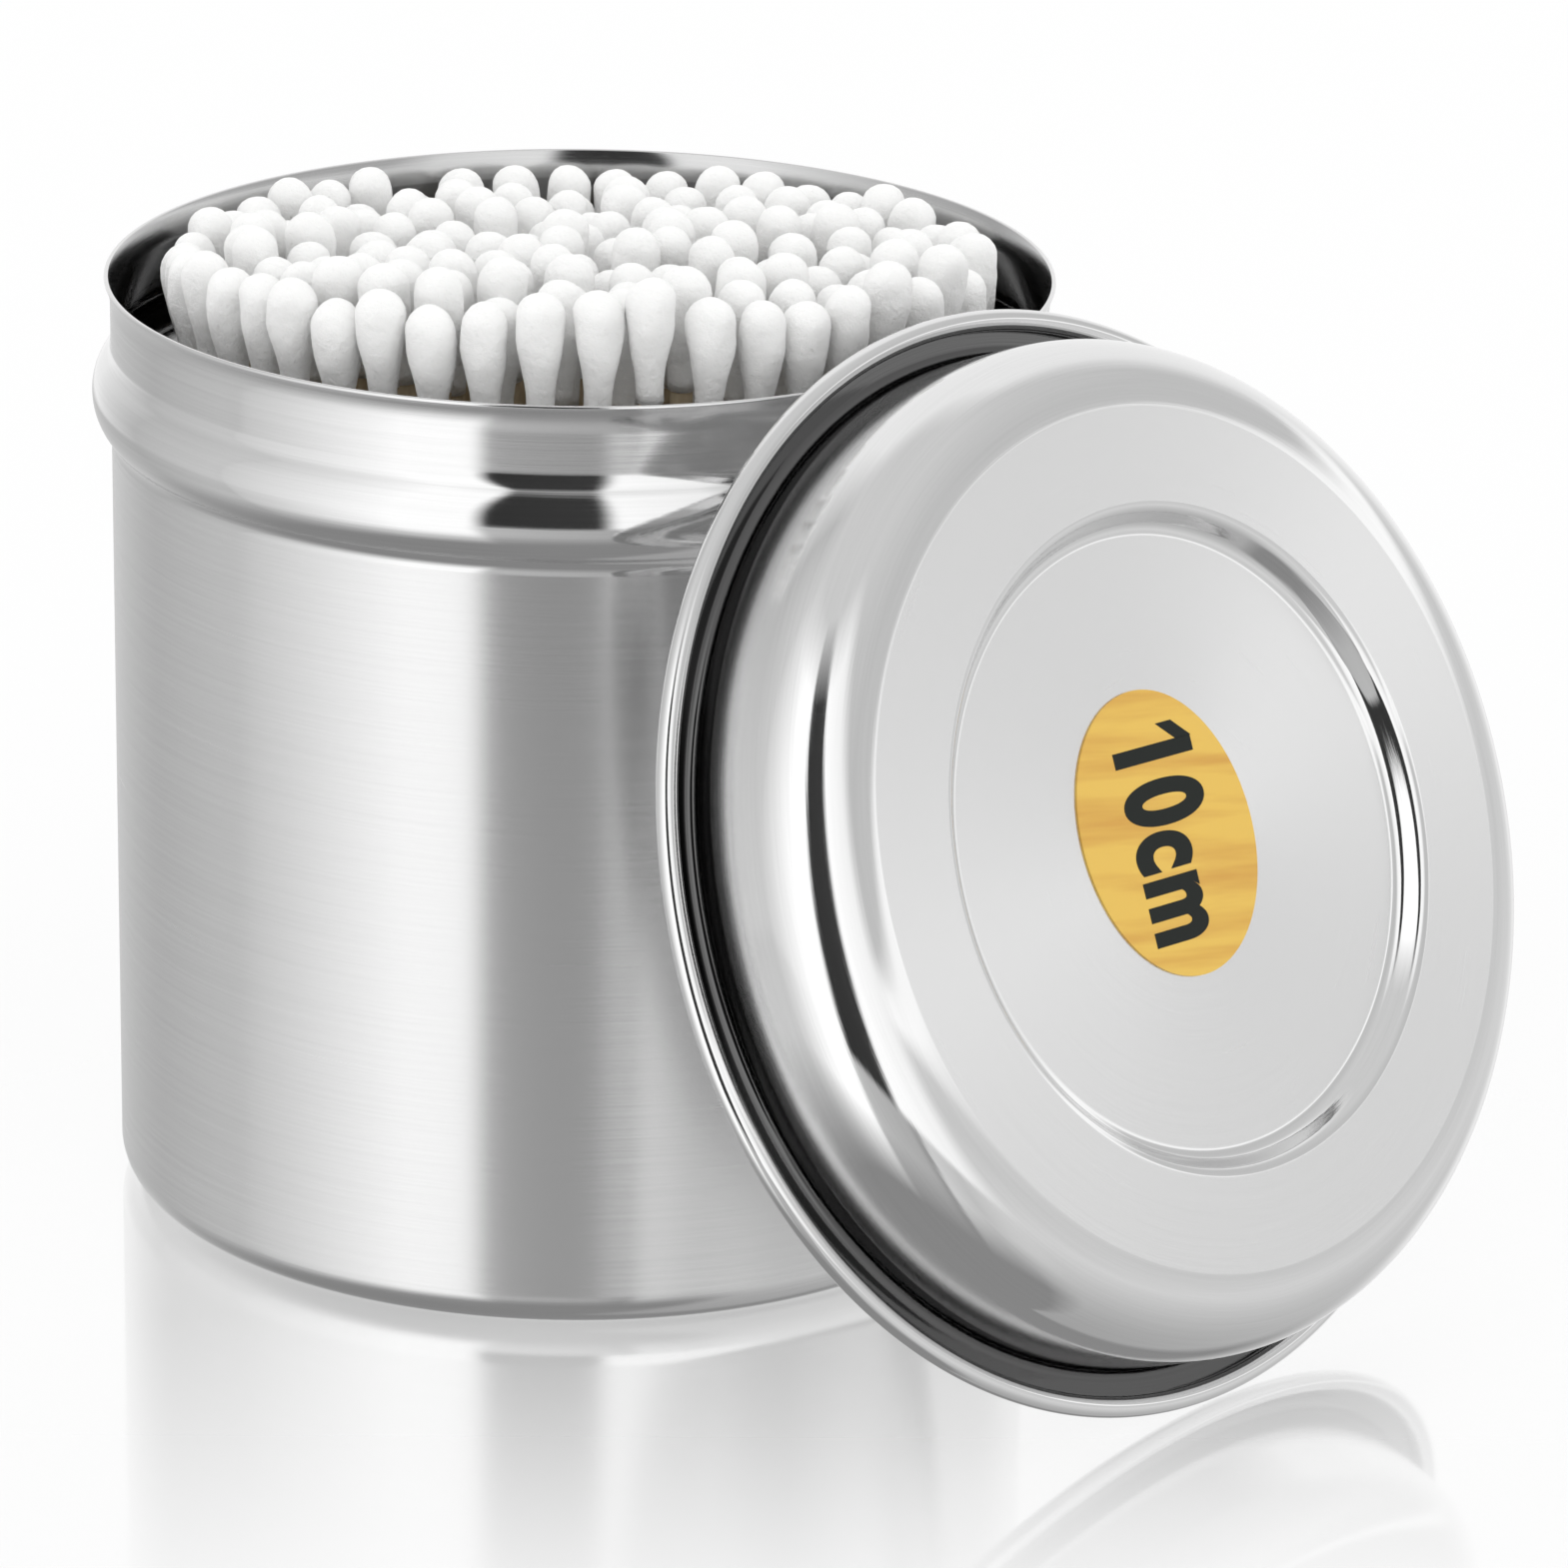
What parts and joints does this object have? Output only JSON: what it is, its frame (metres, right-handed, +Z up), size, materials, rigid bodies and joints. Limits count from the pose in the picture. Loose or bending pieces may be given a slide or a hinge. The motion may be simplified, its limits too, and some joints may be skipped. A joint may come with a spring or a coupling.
{
  "type": "cotton swab canister",
  "caption": "Round drawn-steel canister with a rolled bead under the rim, filled with standing cotton swabs, its recessed flanged lid leaning against the rim.",
  "frame": {"origin": "centre of the canister's flat base, on the surface it stands on", "axes": "+Z up along the canister's axis; the lid leans on the side between +X and -Y"},
  "size_m": [0.149, 0.1483, 0.1114],
  "materials": {
    "jar_steel": "fine brushed steel, polished bead and lip",
    "lid_steel": "satin steel with a bright rolled edge",
    "label_foil": "yellow wood-grain print, semi-gloss",
    "stick_wood": "plain pale birch",
    "cotton": "soft white wound cotton"
  },
  "bodies": {
    "jar": {"jar_body": "jar_steel", "swab_sticks_1": "stick_wood", "swab_sticks_2": "stick_wood", "swab_sticks_3": "stick_wood", "swab_sticks_4": "stick_wood", "swab_sticks_5": "stick_wood", "swab_sticks_6": "stick_wood", "swab_sticks_7": "stick_wood", "cotton_heads_1": "cotton", "cotton_heads_2": "cotton", "cotton_heads_3": "cotton", "cotton_heads_4": "cotton", "cotton_heads_5": "cotton", "cotton_heads_6": "cotton", "cotton_heads_7": "cotton"},
    "lid": {"lid_shell": "lid_steel", "size_label": "label_foil"}
  },
  "joints": [
    {"name": "lid_lift", "type": "slide", "parent": "jar", "child": "lid", "axis": [0, 0, 1], "range_m": [0, 0.12]}
  ]
}
